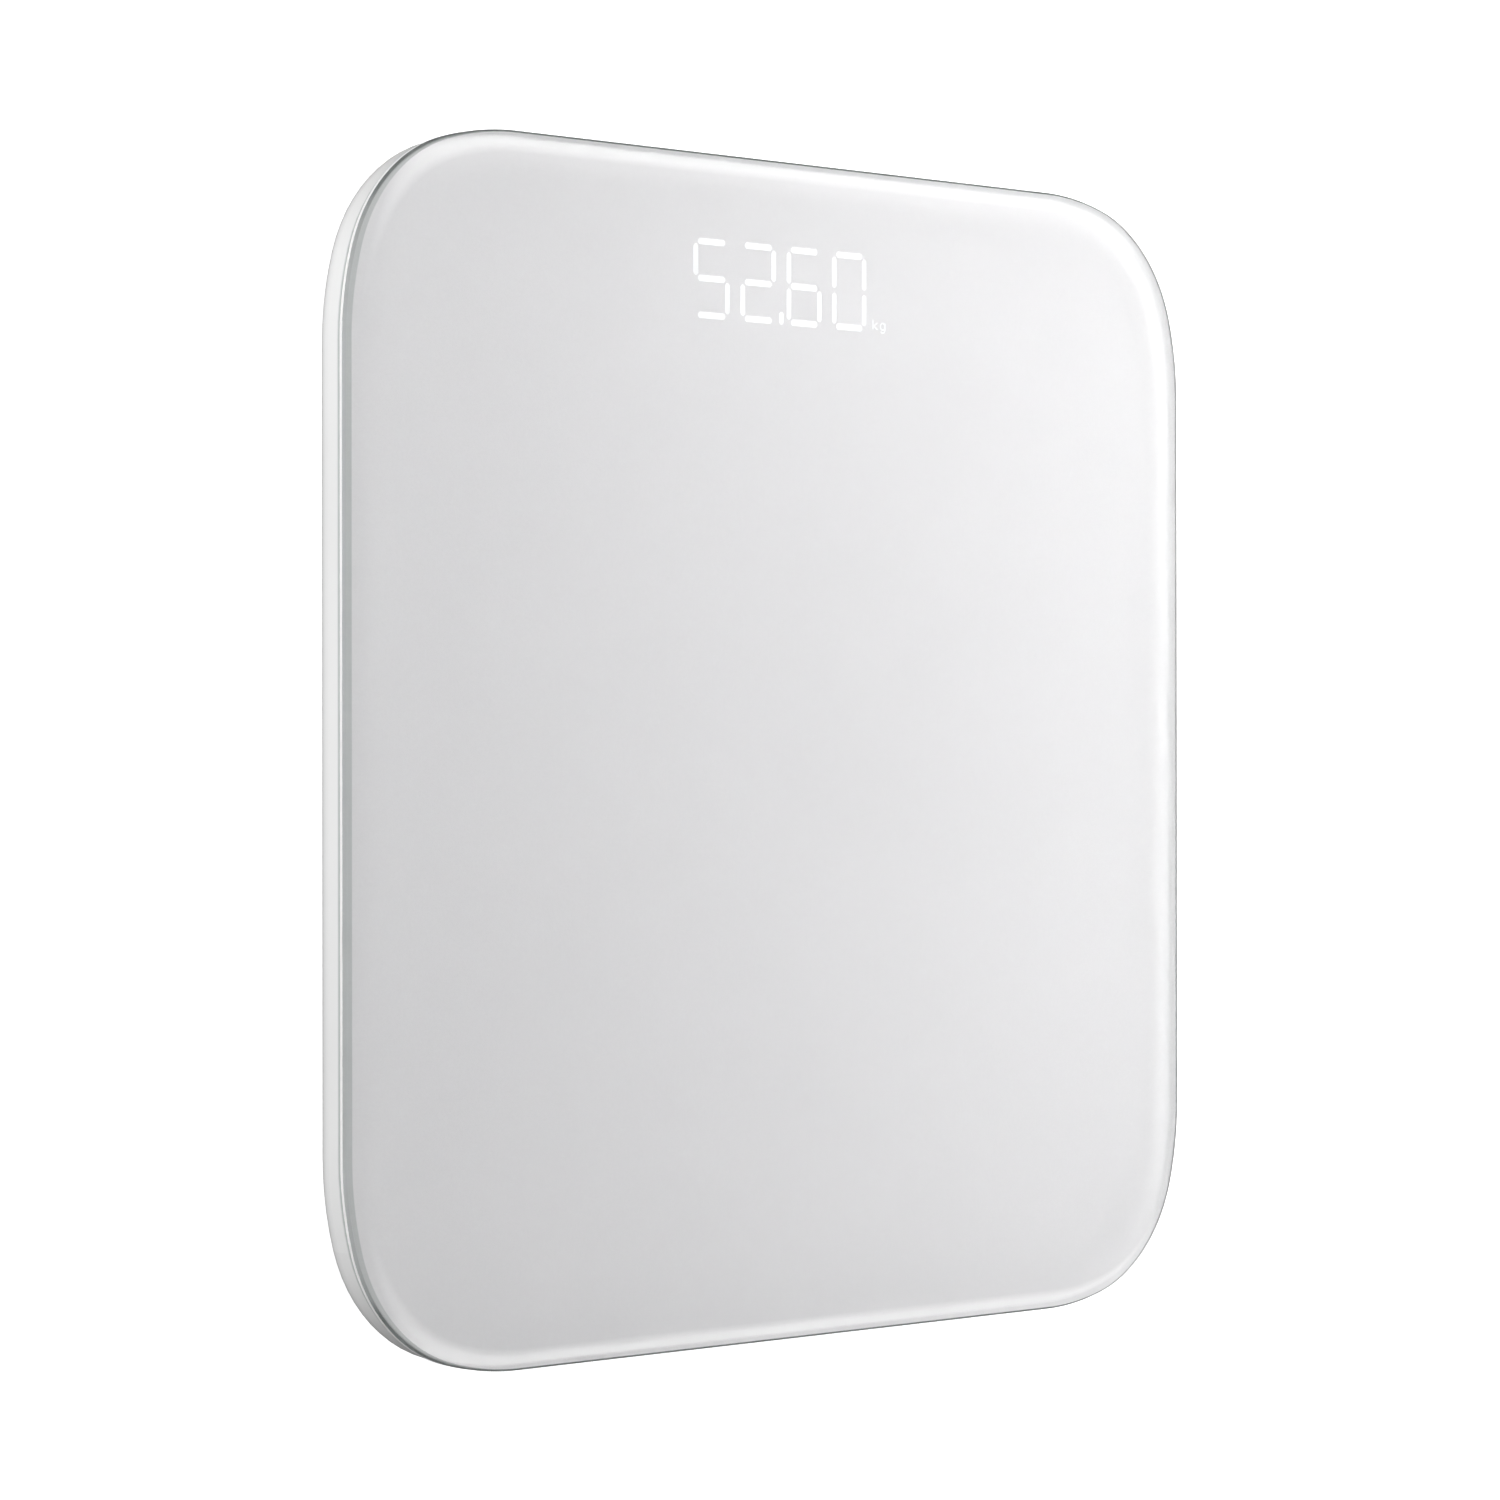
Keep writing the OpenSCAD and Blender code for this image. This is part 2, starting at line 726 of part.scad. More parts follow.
// Circuit board with four screw holes
module main_board() {
    color("darkgreen") difference() {
        translate([0, board_y, board_z0]) linear_extrude(board_t) rounded_rect(board_w, board_l, 2);
        at_board_screws() {
            translate([0, 0, board_z0 - eps]) cylinder(d = small_screw_d + screw_gap, h = board_t + 2 * eps);
        }
    }
}

// Controller, radio and converter chips beside the display
module board_chips() {
    chip_x = (frame_w / 2 + board_w / 2) / 2 - 2;
    color([0.15, 0.15, 0.16]) {
        translate([-chip_x, board_y, wire_z]) chip(9, 9, 1.4);
        translate([chip_x, board_y - 2, wire_z]) chip(7, 5, 1.2);
        translate([chip_x, board_y + 7, wire_z]) chip(4, 4, 1);
        translate([-chip_x, board_y + 10, wire_z]) chip(5, 3, 1.6);
    }
}

module chip(w, l, h) {
    translate([-w / 2, -l / 2, 0]) cube([w, l, h]);
}

module board_screws() {
    color("silver") at_board_screws() {
        translate([0, 0, wire_z]) screw(small_screw_d, board_t + 2);
    }
}

// Supply leads from the battery bay to the board
module battery_wires() {
    lead_w = 1.4;
    start_x = bay_w / 2 + bay_wall;
    end_y = board_y - board_l / 2 + 3;
    color("firebrick") for (i = [0, 1]) {
        turn_x = start_x + 3 + 2.4 * i;
        flat_cable([[start_x, bay_y + 6 - 2.4 * i], [turn_x, bay_y + 6 - 2.4 * i], [turn_x, end_y]],
            lead_w, wire_z, lead_w);
    }
}

// ---------- Unit button ----------

// Round push button in the underside, kept in by a flange above the base floor
module unit_button() {
    color("lightgray") translate([0, button_y, 0]) {
        translate([0, 0, base_z0 + button_recess])
            cylinder(d = button_d, h = floor_z - base_z0 - button_recess + flange_t);
        translate([0, 0, floor_z]) cylinder(d = flange_d, h = flange_t);
        translate([0, 0, floor_z]) cylinder(d = plunger_d, h = flange_t + button_rise);
    }
}

// Switch body under the board, bored for its plunger
module unit_switch() {
    color([0.2, 0.2, 0.22]) difference() {
        translate([-switch_w / 2, button_y - switch_w / 2, switch_z0])
            cube([switch_w, switch_w, board_z0 - switch_z0]);
        translate([0, button_y, switch_z0 - eps])
            cylinder(d = plunger_d + 2 * plunger_gap, h = board_z0 - switch_z0 - 0.3 + eps);
    }
}

// Plunger that the button pushes into the switch
module switch_plunger() {
    plunger_z0 = floor_z + flange_t + button_rise;
    color("orange") translate([0, button_y, plunger_z0])
        cylinder(d = plunger_d, h = board_z0 - 0.3 - button_travel - 0.1 - plunger_z0);
}

// ---------- Load cells ----------

// Square steel plate cut so that a middle tongue hangs from an inner loop
module load_cell() {
    loop_w = cell_loop_w;
    tongue_run = loop_w - 2 * cell_bar_w;
    slot_h = cell_t + 2 * eps;
    color([0.62, 0.63, 0.65]) translate([0, 0, cell_z0]) difference() {
        linear_extrude(cell_t) rounded_rect(cell_w, cell_w, 2.5);
        // The outer slot runs round three sides of the loop
        for (x = [-1, 1]) {
            translate([x * (loop_w + cell_slot) / 2, 0, -eps])
                translate([-cell_slot / 2, -loop_w / 2, 0]) cube([cell_slot, loop_w + cell_slot, slot_h]);
        }
        translate([-loop_w / 2 - cell_slot, loop_w / 2, -eps])
            cube([loop_w + 2 * cell_slot, cell_slot, slot_h]);
        // The inner slot runs round three sides of the tongue
        for (x = [-1, 1]) {
            translate([x * (tongue_w + cell_slot) / 2, 0, -eps])
                translate([-cell_slot / 2, -tongue_run / 2 - cell_slot, 0])
                    cube([cell_slot, tongue_run + cell_slot, slot_h]);
        }
        translate([-tongue_w / 2 - cell_slot, -tongue_run / 2 - cell_slot, -eps])
            cube([tongue_w + 2 * cell_slot, cell_slot, slot_h]);
        translate([0, 0, -eps]) cylinder(d = foot_screw_d + screw_gap, h = slot_h);
    }
}

module load_cell_toe_left() { at_foot(-1, 1) load_cell(); }
module load_cell_toe_right() { at_foot(1, 1) load_cell(); }
module load_cell_heel_left() { at_foot(-1, -1) load_cell(); }
module load_cell_heel_right() { at_foot(1, -1) load_cell(); }

// Sealed gauges on the sensing bar of every load cell
module strain_gauges() {
    color("white") each_quarter() {
        translate([foot_x - gauge_w / 2, foot_y + cell_loop_w / 2 - gauge_edge - gauge_l, wire_z])
            cube([gauge_w, gauge_l, gauge_h]);
    }
}

// Carrier that holds a load cell over its foot well
module cell_bracket() {
    pocket = cell_w + 2 * cell_gap;
    notch_z = wire_z - 0.2;
    color("lightsteelblue") difference() {
        union() {
            translate([0, 0, floor_z]) cylinder(d = bracket_d, h = bracket_top - floor_z);
            at_ears() translate([0, 0, bracket_top - ear_t]) cylinder(d = ear_d, h = ear_t);
            at_ears() translate([-ear_neck, -ear_d / 2, bracket_top - ear_t]) cube([ear_neck, ear_d, ear_t]);
        }
        translate([0, 0, cell_z0]) linear_extrude(bracket_top) square(pocket, center = true);
        translate([0, 0, floor_z - eps]) cylinder(d = bracket_hole_d, h = bracket_floor + 2 * eps);
        at_ears() translate([0, 0, bracket_top - ear_t - eps])
            cylinder(d = small_screw_d + screw_gap, h = ear_t + 2 * eps);
        translate([-bracket_d / 2 - eps, -cable_notch / 2, notch_z])
            cube([bracket_d / 2, cable_notch, bracket_top]);
    }
}

module cell_bracket_toe_left() { at_foot(-1, 1) cell_bracket(); }
module cell_bracket_toe_right() { at_foot(1, 1) cell_bracket(); }
module cell_bracket_heel_left() { at_foot(-1, -1) cell_bracket(); }
module cell_bracket_heel_right() { at_foot(1, -1) cell_bracket(); }

module bracket_screws() {
    color("silver") each_quarter() {
        translate([foot_x, foot_y, bracket_top]) at_ears() screw(small_screw_d, ear_t + 2.4);
    }
}

// Flat cables that lie on the ribs, from each load cell to the board
module toe_cable() {
    color("dimgray")
        flat_cable([[foot_x - cell_w / 2 + 2, foot_y], [board_w / 2 - 4, foot_y]], cable_w, wire_z, cable_t);
}

module heel_cable() {
    end_y = board_y - board_l / 2 + 11;
    color("dimgray")
        flat_cable([[foot_x - cell_w / 2 + 2, -foot_y], [cable_x, -foot_y], [cable_x, end_y],
            [board_w / 2 - 4, end_y]], cable_w, wire_z, cable_t);
}

module cell_cable_toe_left() { mirror([1, 0, 0]) toe_cable(); }
module cell_cable_toe_right() { toe_cable(); }
module cell_cable_heel_left() { mirror([1, 0, 0]) heel_cable(); }
module cell_cable_heel_right() { heel_cable(); }

// ---------- Feet ----------

// Round cap with a hub that reaches up to the load cell's tongue
module foot_cap() {
    edge_r = 1.2;
    rim_wall = 2.2;
    web_t = 2;
    color("white") difference() {
        rotate_extrude() difference() {
            union() {
                translate([0, cap_z0]) square([foot_d / 2, cap_top - cap_z0]);
                translate([0, cap_z0]) square([hub_d / 2, cell_z0 - cap_z0]);
            }
            corner_round(foot_d / 2, cap_z0, edge_r);
            translate([0, cap_z0 - eps]) square([pad_d / 2, pad_seat + eps]);
            translate([hub_d / 2 + 1.5, pad_t + web_t])
                square([foot_d / 2 - rim_wall - hub_d / 2 - 1.5, cap_top]);
        }
        translate([0, 0, pad_t + web_t / 2]) cylinder(d = foot_screw_d, h = cell_z0);
    }
}

module foot_cap_toe_left() { at_foot(-1, 1) foot_cap(); }
module foot_cap_toe_right() { at_foot(1, 1) foot_cap(); }
module foot_cap_heel_left() { at_foot(-1, -1) foot_cap(); }
module foot_cap_heel_right() { at_foot(1, -1) foot_cap(); }

// Rubber disc with a softened edge and three shallow grip rings
module foot_pad() {
    ring_w = 1;
    ring_depth = 0.4;
    color("gray") rotate_extrude() difference() {
        square([pad_d / 2, pad_t]);
        corner_round(pad_d / 2, 0, pad_t - pad_seat - 0.2);
        for (r = [0.4, 0.6, 0.8]) {
            translate([r * pad_d / 2, -eps]) square([ring_w, ring_depth + eps]);
        }
    }
}

module foot_pad_toe_left() { at_foot(-1, 1) foot_pad(); }
module foot_pad_toe_right() { at_foot(1, 1) foot_pad(); }
module foot_pad_heel_left() { at_foot(-1, -1) foot_pad(); }
module foot_pad_heel_right() { at_foot(1, -1) foot_pad(); }

// Screw that clamps the load cell's tongue to the hub
module foot_screw() {
    color("silver") translate([0, 0, wire_z]) screw(foot_screw_d, wire_z - pad_t - 2);
}

module foot_screw_toe_left() { at_foot(-1, 1) foot_screw(); }
module foot_screw_toe_right() { at_foot(1, 1) foot_screw(); }
module foot_screw_heel_left() { at_foot(-1, -1) foot_screw(); }
module foot_screw_heel_right() { at_foot(1, -1) foot_screw(); }

glass_platform();
glass_print();
bond_tape();
base_shell();
display_frame();
display_segments();
display_diffuser();
main_board();
board_chips();
board_screws();
battery_wires();
battery_door();
battery_1();
battery_2();
battery_3();
battery_contacts();
battery_springs();
unit_button();
unit_switch();
switch_plunger();
load_cell_toe_left();
load_cell_toe_right();
load_cell_heel_left();
load_cell_heel_right();
cell_bracket_toe_left();
cell_bracket_toe_right();
cell_bracket_heel_left();
cell_bracket_heel_right();
foot_cap_toe_left();
foot_cap_toe_right();
foot_cap_heel_left();
foot_cap_heel_right();
foot_pad_toe_left();
foot_pad_toe_right();
foot_pad_heel_left();
foot_pad_heel_right();
foot_screw_toe_left();
foot_screw_toe_right();
foot_screw_heel_left();
foot_screw_heel_right();
cell_cable_toe_left();
cell_cable_toe_right();
cell_cable_heel_left();
cell_cable_heel_right();
strain_gauges();
bracket_screws();
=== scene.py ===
"""Looks of the digital bathroom scale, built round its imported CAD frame. All lengths are metres."""

import json
import math

import bpy
from mathutils import Matrix, Vector


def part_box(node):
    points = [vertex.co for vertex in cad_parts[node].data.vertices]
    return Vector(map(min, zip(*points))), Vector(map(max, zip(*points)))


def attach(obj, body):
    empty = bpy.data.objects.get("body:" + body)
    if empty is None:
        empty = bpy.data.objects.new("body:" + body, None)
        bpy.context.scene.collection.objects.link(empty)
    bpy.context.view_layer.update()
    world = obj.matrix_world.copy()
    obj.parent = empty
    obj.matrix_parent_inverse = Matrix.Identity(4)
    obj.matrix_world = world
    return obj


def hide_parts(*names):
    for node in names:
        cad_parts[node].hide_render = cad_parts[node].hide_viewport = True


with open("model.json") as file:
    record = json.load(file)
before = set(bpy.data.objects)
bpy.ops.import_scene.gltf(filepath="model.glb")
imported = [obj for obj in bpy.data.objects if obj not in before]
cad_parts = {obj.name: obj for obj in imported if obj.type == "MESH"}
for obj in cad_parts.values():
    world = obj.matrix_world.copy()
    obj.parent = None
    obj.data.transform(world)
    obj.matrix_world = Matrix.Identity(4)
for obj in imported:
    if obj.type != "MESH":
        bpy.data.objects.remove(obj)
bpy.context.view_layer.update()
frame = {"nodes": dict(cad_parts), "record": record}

MM = 0.001

# ---------------------------------------------------------------- sizes shared with the CAD part

GLASS_LOW, GLASS_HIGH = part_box("glass_platform")
PRINT_LOW, PRINT_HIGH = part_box("glass_print")
HALF_W, HALF_L = GLASS_HIGH.x, GLASS_HIGH.y
BORDER_W, BORDER_DROP = 5.4 * MM, 1.94 * MM
BORDER_R = (BORDER_W**2 + BORDER_DROP**2) / (2 * BORDER_DROP)
CHAMFER = 0.2 * MM
SOFT_R, TIGHT_R = 75.3 * MM, 38.3 * MM
SOFT_TURN = math.atan2(7, 24)
CORNER_K = SOFT_R - (SOFT_R - TIGHT_R) * math.cos(SOFT_TURN)
CORNER_RUN = CORNER_K + (SOFT_R - TIGHT_R) * math.sin(SOFT_TURN)
BOND_DEPTH = 0.02 * MM
RIM_Z = GLASS_HIGH.z - BORDER_DROP
RIM_R = 1.55 * MM

# The glass wall: where it starts, its tint, partly the glass's own green and partly painted shade, and
# the ground strip along its foot
WALL_FACING = (0.76, 0.83)
# Painted shade: the wall goes nearly black where it is seen at a grazing angle
GRAZING_SHADE_FACING, GRAZING_SHADE_TINT = (0.32, 0.56), (0.07, 0.082, 0.078)
# The wall's own green tint with painted shade: darker towards the top of the wall
WALL_LOW_TINT_AND_SHADE, WALL_HIGH_TINT_AND_SHADE = (0.7, 0.745, 0.725), (0.53, 0.565, 0.55)
GROUND_TOP, GROUND_SOFT = GLASS_LOW.z + 1.05 * MM, 0.1 * MM
GROUND_COLOUR = (0.97, 0.97, 0.97)

# Painted shadow: a darker band along the top of the base's wall, where the overhang of the glass shades
# it
SHELL_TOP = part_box("base_shell")[1].z
SHADOW_LINE_LOW, SHADOW_LINE_HIGH = SHELL_TOP - 1.25 * MM, SHELL_TOP - 0.7 * MM
SHADOW_LINE_COLOUR = (0.5, 0.53, 0.52)

# Looks of the larger surfaces
WHITE, BLACK = (1, 1, 1), (0, 0, 0)
GLASS_IOR = 1.52
GLASS_SMEAR = (0.004, 0.02)
GLASS_DEPTH_COLOUR, GLASS_DEPTH_DENSITY = (0.5, 0.8, 0.68), 1.5
GROUND_CLEARNESS, GROUND_ROUGHNESS = 0.1, 0.5
PRINT_DARK, PRINT_LIGHT = (0.879, 0.869, 0.879), (0.894, 0.884, 0.894)
SHELL_DARK, SHELL_LIGHT = (0.86, 0.862, 0.86), (0.885, 0.887, 0.885)
SHELL_GLOSS, SHELL_TEXTURED = 0.2, 0.46
LIT_GLOW = 0.23
RUBBER_DARK, RUBBER_LIGHT = (0.23, 0.235, 0.24), (0.29, 0.295, 0.3)

# Steps of the curves and radii of the small edges
SOFT_STEPS, TIGHT_STEPS = 20, 44
RIM_STEPS, BORDER_STEPS = 12, 24
ARRIS_R, PRINT_EDGE_R = 0.1 * MM, 0.02 * MM


# ---------------------------------------------------------------- mesh helpers

def arc_points(centre, radius, start, end, count):
    """Points of an arc with their outward directions."""
    points = []
    for i in range(count + 1):
        angle = start + (end - start) * i / count
        out = (math.cos(angle), math.sin(angle))
        points.append((centre[0] + radius * out[0], centre[1] + radius * out[1], out[0], out[1]))
    return points


def platform_outline():
    """The glass outline, anticlockwise, as (x, y, outward x, outward y)."""
    quarter = math.pi / 2
    tight_end = quarter - SOFT_TURN
    near, middle, far = (
        (HALF_W - SOFT_R, HALF_L - CORNER_RUN),
        (HALF_W - CORNER_K, HALF_L - CORNER_K),
        (HALF_W - CORNER_RUN, HALF_L - SOFT_R),
    )
    corner = arc_points(near, SOFT_R, 0, SOFT_TURN, SOFT_STEPS)
    corner += arc_points(middle, TIGHT_R, SOFT_TURN, tight_end, TIGHT_STEPS)[1:]
    corner += arc_points(far, SOFT_R, tight_end, quarter, SOFT_STEPS)[1:]
    mirrored = [(-x, y, -nx, ny) for x, y, nx, ny in reversed(corner)]
    top = corner + mirrored
    return top + [(-x, -y, -nx, -ny) for x, y, nx, ny in top]


def rounded_edge(corner, into, out_of, radius, count=4):
    """Rounds one corner of a profile. Rows are (inset, z, normal outward, normal upward)."""
    (x, z), (n0x, n0z), (n1x, n1z) = corner, into, out_of
    turn = math.acos(max(-1, min(1, n0x * n1x + n0z * n1z)))
    mid = Vector((n0x + n1x, n0z + n1z)).normalized()
    centre = Vector((-x, z)) - mid * radius / math.cos(turn / 2)
    first = math.atan2(n0z, n0x)
    rows = []
    for i in range(count + 1):
        angle = first + turn * i / count
        normal = (math.cos(angle), math.sin(angle))
        inset, level = -(centre.x + radius * normal[0]), centre.y + radius * normal[1]
        rows.append((inset, level, *normal))
    return rows


def band_faces(rings, count, first=0):
    """The quads between rings of points that follow each other."""
    faces = []
    for start in range(first, first + (rings - 1) * count, count):
        for i in range(count):
            a, b = start + i, start + (i + 1) % count
            faces.append((a, b, b + count, a + count))
    return faces


def new_object(name, vertices, faces):
    mesh = bpy.data.meshes.new(name)
    mesh.from_pydata(vertices, [], faces)
    piece = bpy.data.objects.new(name, mesh)
    bpy.context.scene.collection.objects.link(piece)
    return piece


def loft(name, profile, outline):
    """Sweeps a profile of (inset, z, normal out, normal up) round the outline and caps both ends."""
    vertices, normals = [], []
    count = len(outline)
    for inset, z, n_out, n_up in profile:
        for x, y, nx, ny in outline:
            vertices.append((x - nx * inset, y - ny * inset, z))
            normals.append((nx * n_out, ny * n_out, n_up))
    faces = band_faces(len(profile), count)
    faces.append(tuple(reversed(range(count))))
    faces.append(tuple(range(len(vertices) - count, len(vertices))))
    piece = new_object(name, vertices, faces)
    piece.data.shade_smooth()
    piece.data.normals_split_custom_set_from_vertices(normals)
    return piece


# ---------------------------------------------------------------- materials

def new_material(name):
    material = bpy.data.materials.new(name)
    material.use_nodes = True
    nodes = material.node_tree.nodes
    return material, nodes, material.node_tree.links, nodes["Principled BSDF"]


def noise(nodes, links, coords, scale, detail=3.0):
    node = nodes.new("ShaderNodeTexNoise")
    node.inputs["Scale"].default_value = scale
    node.inputs["Detail"].default_value = detail
    links.new(coords, node.inputs["Vector"])
    return node.outputs["Fac"]


def ranged(nodes, links, value, low, high, from_low=0.35, from_high=0.65):
    """Maps a value to low..high, held at both ends. The default ends suit a noise."""
    node = nodes.new("ShaderNodeMapRange")
    node.inputs["From Min"].default_value = from_low
    node.inputs["From Max"].default_value = from_high
    node.inputs["To Min"].default_value = low
    node.inputs["To Max"].default_value = high
    links.new(value, node.inputs["Value"])
    return node.outputs["Result"]


def tinted(nodes, links, factor, first, second):
    """Mixes two colours, each of them RGB numbers or a socket."""
    node = nodes.new("ShaderNodeMix")
    node.data_type = "RGBA"
    for name, colour in (("A", first), ("B", second)):
        if isinstance(colour, tuple):
            node.inputs[name].default_value = (*colour, 1)
        else:
            links.new(colour, node.inputs[name])
    links.new(factor, node.inputs["Factor"])
    return node.outputs["Result"]


def bumped(nodes, links, height, strength, distance, normal=None):
    node = nodes.new("ShaderNodeBump")
    node.inputs["Strength"].default_value = strength
    node.inputs["Distance"].default_value = distance
    links.new(height, node.inputs["Height"])
    if normal is not None:
        links.new(normal, node.inputs["Normal"])
    return node.outputs["Normal"]


def object_coords(nodes):
    return nodes.new("ShaderNodeTexCoord").outputs["Object"]


def moulded(name, colour, rough, grain, depth, shade=0.97, metallic=0.0):
    """A plain moulded, cast or plated surface: fine grain, faint waviness and a little uneven tone."""
    material, nodes, links, shader = new_material(name)
    coords = object_coords(nodes)
    tone = ranged(nodes, links, noise(nodes, links, coords, 22.0), 0, 1)
    darker = tuple(c * shade for c in colour)
    links.new(tinted(nodes, links, tone, darker, colour), shader.inputs["Base Color"])
    wear = noise(nodes, links, coords, 90.0, 4.0)
    links.new(ranged(nodes, links, wear, rough * 0.88, rough * 1.12), shader.inputs["Roughness"])
    fine = noise(nodes, links, coords, grain, 2.0)
    links.new(bumped(nodes, links, fine, 0.5, depth), shader.inputs["Normal"])
    shader.inputs["Metallic"].default_value = metallic
    return material


def split_axes(nodes, links, vector):
    node = nodes.new("ShaderNodeSeparateXYZ")
    links.new(vector, node.inputs["Vector"])
    return node.outputs


def computed(nodes, links, operation, first, second):
    node = nodes.new("ShaderNodeMath")
    node.operation = operation
    for socket, value in zip(node.inputs, (first, second)):
        if isinstance(value, (int, float)):
            socket.default_value = value
        else:
            links.new(value, socket)
    return node.outputs["Value"]


def glass_material():
    """Clear glass with a greener polished wall that carries painted shade, darker towards its top and
    nearly black at grazing angles, and a ground strip along its lower arris.
    """
    material, nodes, links, shader = new_material("clear_glass")
    coords = object_coords(nodes)
    facing = split_axes(nodes, links, nodes.new("ShaderNodeNewGeometry").outputs["Normal"])["Z"]
    level_z = split_axes(nodes, links, coords)["Z"]
    side = ranged(nodes, links, computed(nodes, links, "ABSOLUTE", facing, 0), 1, 0, *WALL_FACING)
    height = ranged(nodes, links, level_z, 0, 1, GROUND_TOP, RIM_Z)
    # The wall's green tint, with painted shade darkening it towards the top
    wall_tint_and_shade = tinted(nodes, links, height, WALL_LOW_TINT_AND_SHADE, WALL_HIGH_TINT_AND_SHADE)
    # Painted shade: the wall goes nearly black at grazing angles
    slant = nodes.new("ShaderNodeLayerWeight").outputs["Facing"]
    grazing_shade = tinted(nodes, links, ranged(nodes, links, slant, 0, 1, *GRAZING_SHADE_FACING), wall_tint_and_shade, GRAZING_SHADE_TINT)
    ground = ranged(nodes, links, level_z, 1, 0, GROUND_TOP - GROUND_SOFT, GROUND_TOP)
    ground = computed(nodes, links, "MULTIPLY", ground, side)
    colour = tinted(nodes, links, ground, tinted(nodes, links, side, WHITE, grazing_shade), GROUND_COLOUR)
    links.new(colour, shader.inputs["Base Color"])
    clearness = ranged(nodes, links, ground, 1, GROUND_CLEARNESS, 0, 1)
    links.new(clearness, shader.inputs["Transmission Weight"])
    shader.inputs["IOR"].default_value = GLASS_IOR
    smear = ranged(nodes, links, noise(nodes, links, coords, 14.0), *GLASS_SMEAR)
    dull = computed(nodes, links, "MULTIPLY", ground, GROUND_ROUGHNESS)
    links.new(computed(nodes, links, "MAXIMUM", smear, dull), shader.inputs["Roughness"])
    depth = nodes.new("ShaderNodeVolumeAbsorption")
    depth.inputs["Color"].default_value = (*GLASS_DEPTH_COLOUR, 1)
    depth.inputs["Density"].default_value = GLASS_DEPTH_DENSITY
    links.new(depth.outputs["Volume"], nodes["Material Output"].inputs["Volume"])
    return material


def print_material():
    """Matt fired paint, seen only through the glass."""
    material, nodes, links, shader = new_material("white_print")
    coords = object_coords(nodes)
    speck = ranged(nodes, links, noise(nodes, links, coords, 1800.0, 2.0), 0, 1)
    links.new(tinted(nodes, links, speck, PRINT_DARK, PRINT_LIGHT), shader.inputs["Base Color"])
    shader.inputs["Roughness"].default_value = 0.6
    shader.inputs["Specular IOR Level"].default_value = 0.0
    return material


def shell_material():
    """Gloss on the side wall, a painted shadow line along its top under the glass, and a fine texture on
    the underside.
    """
    material, nodes, links, shader = new_material("shell")
    coords = object_coords(nodes)
    facing = split_axes(nodes, links, nodes.new("ShaderNodeNewGeometry").outputs["Normal"])["Z"]
    below = ranged(nodes, links, facing, 1, 0, -0.9, -0.75)
    tone = ranged(nodes, links, noise(nodes, links, coords, 18.0), 0, 1)
    plain = tinted(nodes, links, tone, SHELL_DARK, SHELL_LIGHT)
    # Painted shadow: the top of the wall goes darker where the glass overhangs it
    shadow_line = ranged(nodes, links, split_axes(nodes, links, coords)["Z"], 0, 1, SHADOW_LINE_LOW, SHADOW_LINE_HIGH)
    links.new(tinted(nodes, links, shadow_line, plain, SHADOW_LINE_COLOUR), shader.inputs["Base Color"])
    rough = ranged(nodes, links, below, SHELL_GLOSS, SHELL_TEXTURED, 0, 1)
    links.new(rough, shader.inputs["Roughness"])
    peel = bumped(nodes, links, noise(nodes, links, coords, 350.0, 1.0), 0.05, 0.05 * MM)
    grain = computed(nodes, links, "MULTIPLY", noise(nodes, links, coords, 2600.0, 2.0), below)
    links.new(bumped(nodes, links, grain, 0.45, 0.05 * MM, peel), shader.inputs["Normal"])
    return material


def lit_material():
    """Resin that is lit from behind and glows evenly."""
    material, nodes, links, shader = new_material("lit_resin")
    coords = object_coords(nodes)
    glow = ranged(nodes, links, noise(nodes, links, coords, 400.0, 2.0), 0, 1)
    colour = tinted(nodes, links, glow, (0.97, 0.985, 1.0), WHITE)
    links.new(colour, shader.inputs["Base Color"])
    links.new(colour, shader.inputs["Emission Color"])
    shader.inputs["Emission Strength"].default_value = LIT_GLOW
    shader.inputs["Specular IOR Level"].default_value = 0.0
    shader.inputs["Roughness"].default_value = 0.6
    return material


def rubber_material():
    material, nodes, links, shader = new_material("foot_rubber")
    coords = object_coords(nodes)
    tone = ranged(nodes, links, noise(nodes, links, coords, 120.0, 4.0), 0, 1)
    links.new(tinted(nodes, links, tone, RUBBER_DARK, RUBBER_LIGHT), shader.inputs["Base Color"])
    worn = noise(nodes, links, coords, 300.0)
    links.new(ranged(nodes, links, worn, 0.62, 0.8), shader.inputs["Roughness"])
    fine = noise(nodes, links, coords, 1800.0, 3.0)
    links.new(bumped(nodes, links, fine, 0.5, 0.04 * MM), shader.inputs["Normal"])
    return material


